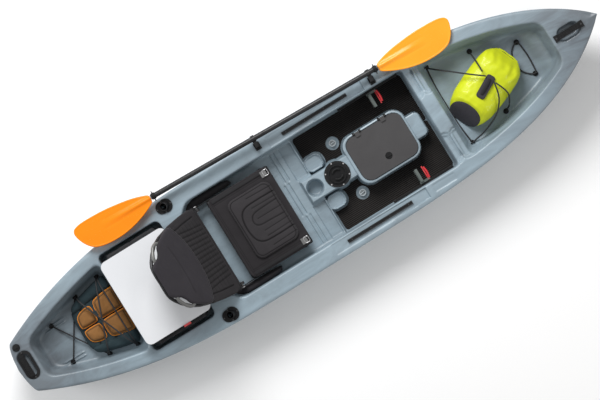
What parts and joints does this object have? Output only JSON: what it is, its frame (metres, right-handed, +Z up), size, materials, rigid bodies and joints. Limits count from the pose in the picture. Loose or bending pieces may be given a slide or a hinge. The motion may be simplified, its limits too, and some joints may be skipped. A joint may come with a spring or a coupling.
{
  "type": "sit-on-top fishing kayak",
  "caption": "Sit-on-top fishing kayak with framed folding seat, paddle on deck cradles, hatches, foot braces, lidded crate, stowed life vest and corded dry bag.",
  "frame": {"origin": "on the flat keel pad under the hull, amidships and on the centreline", "axes": "+X towards the bow, +Y to port, +Z up"},
  "size_m": [3.658, 0.9245, 0.6662],
  "materials": {
    "hull_plastic": "rotomoulded, faintly grained",
    "black_plastic": "moulded, satin",
    "grey_plastic": "moulded, satin",
    "lid_grey_plastic": "fine texture",
    "white_plastic": "fine texture",
    "red_plastic": "glossy",
    "plug_rubber": "soft grey",
    "black_rubber": "soft",
    "mat_foam": "ribbed closed-cell foam",
    "steel": "stainless, brushed",
    "seat_tube": "powder coat",
    "track_metal": "black anodised",
    "seat_fabric": "woven polyester with mesh",
    "bag_fabric": "coated ripstop",
    "vest_fabric": "nylon over foam",
    "cord_fabric": "braided elastic cord",
    "shaft_fibre": "glass-fibre tube",
    "blade_plastic": "injection moulded"
  },
  "bodies": {
    "boat": {"hull": "hull_plastic", "gear_track_port": "track_metal", "gear_track_starboard": "track_metal", "track_screws": "steel", "deck_mat_port": "mat_foam", "deck_mat_starboard": "mat_foam", "foot_rail_port": "black_plastic", "foot_rail_starboard": "black_plastic", "foot_rail_screws": "steel", "hatch_gasket": "black_rubber", "hatch_hinge_base": "black_plastic", "hatch_hinge_pins": "steel", "round_hatch_ring": "black_plastic", "round_hatch_screws": "steel", "rod_holder_port": "black_plastic", "rod_holder_starboard": "black_plastic", "rod_holder_screws": "steel", "bow_handle": "black_plastic", "stern_handle": "black_plastic", "handle_screws": "steel", "drain_seat": "black_plastic", "bow_pad_eyes": "black_plastic", "stern_pad_eyes": "black_plastic", "bow_bungee": "cord_fabric", "stern_bungee": "cord_fabric", "paddle_cradles": "black_plastic", "seat_frame": "seat_tube", "seat_feet": "black_rubber", "seat_pan": "seat_fabric", "seat_hinge_brackets": "black_plastic", "seat_hinge_bolts": "steel", "seat_clips": "grey_plastic", "crate_box": "black_plastic", "crate_side_pockets": "seat_fabric", "crate_hinge_pins": "steel", "crate_latch_base": "black_plastic", "dry_bag": "bag_fabric", "dry_bag_buckle": "black_plastic", "life_vest": "vest_fabric"},
    "hatch_lid": {"hatch_lid": "lid_grey_plastic"},
    "hatch_knob": {"hatch_latch_knob": "black_plastic"},
    "round_lid": {"round_hatch_lid": "black_plastic"},
    "scupper_plug_port": {"scupper_plug_port": "plug_rubber"},
    "scupper_plug_starboard": {"scupper_plug_starboard": "plug_rubber"},
    "pedal_port": {"foot_pedal_port": "grey_plastic"},
    "pedal_starboard": {"foot_pedal_starboard": "grey_plastic"},
    "trigger_port": {"pedal_trigger_port": "red_plastic"},
    "trigger_starboard": {"pedal_trigger_starboard": "red_plastic"},
    "drain_plug": {"drain_plug": "black_rubber"},
    "paddle": {"paddle_shaft_fore": "shaft_fibre", "paddle_shaft_aft": "shaft_fibre", "paddle_blade_fore": "blade_plastic", "paddle_blade_aft": "blade_plastic", "drip_ring_fore": "black_rubber", "drip_ring_aft": "black_rubber", "ferrule_button": "steel"},
    "backrest": {"backrest_frame": "seat_tube", "backrest_pad": "seat_fabric"},
    "crate_lid": {"crate_lid": "white_plastic"},
    "crate_latch": {"crate_latch": "red_plastic"}
  },
  "joints": [
    {"name": "hatch_lid_hinge", "type": "hinge", "parent": "boat", "child": "hatch_lid", "pos_m": [0.484, 0.137, 0.226], "axis": [-1, 0, 0], "range_deg": [0, 100]},
    {"name": "hatch_knob_turn", "type": "hinge", "parent": "hatch_lid", "child": "hatch_knob", "pos_m": [0.49, -0.062, 0.215], "axis": [0, 0, 1], "range_deg": [0, 90]},
    {"name": "round_hatch_twist", "type": "hinge", "parent": "boat", "child": "round_lid", "pos_m": [0.197, 0, 0.205], "axis": [0, 0, 1], "range_deg": [0, 90]},
    {"name": "scupper_plug_port_pull", "type": "slide", "parent": "boat", "child": "scupper_plug_port", "axis": [0, 0, 1], "range_m": [0, 0.06]},
    {"name": "scupper_plug_starboard_pull", "type": "slide", "parent": "boat", "child": "scupper_plug_starboard", "axis": [0, 0, 1], "range_m": [0, 0.06]},
    {"name": "pedal_port_slide", "type": "slide", "parent": "boat", "child": "pedal_port", "axis": [1, 0, 0], "range_m": [-0.13, 0.115]},
    {"name": "trigger_port_hinge", "type": "hinge", "parent": "pedal_port", "child": "trigger_port", "pos_m": [0.608, 0.2824, 0.215], "axis": [0, 0, -1], "range_deg": [0, 15], "stiffness_Nm_per_rad": 0.3},
    {"name": "pedal_starboard_slide", "type": "slide", "parent": "boat", "child": "pedal_starboard", "axis": [1, 0, 0], "range_m": [-0.13, 0.115]},
    {"name": "trigger_starboard_hinge", "type": "hinge", "parent": "pedal_starboard", "child": "trigger_starboard", "pos_m": [0.608, -0.2824, 0.215], "axis": [0, 0, 1], "range_deg": [0, 15], "stiffness_Nm_per_rad": 0.3},
    {"name": "drain_plug_twist", "type": "hinge", "parent": "boat", "child": "drain_plug", "pos_m": [-1.777, 0.113, 0.365], "axis": [0, 0, 1], "continuous": true},
    {"name": "paddle_lift", "type": "slide", "parent": "boat", "child": "paddle", "axis": [0, 0, 1], "range_m": [0, 0.3]},
    {"name": "backrest_fold", "type": "hinge", "parent": "boat", "child": "backrest", "pos_m": [-0.56, 0, 0.28], "axis": [0, 1, 0], "range_deg": [0, 75]},
    {"name": "crate_lid_hinge", "type": "hinge", "parent": "boat", "child": "crate_lid", "pos_m": [-0.764, 0, 0.39], "axis": [0, 1, 0], "range_deg": [0, 45]},
    {"name": "crate_latch_hinge", "type": "hinge", "parent": "boat", "child": "crate_latch", "pos_m": [-0.919, -0.265, 0.3587], "axis": [1, 0, 0], "range_deg": [0, 90]}
  ]
}
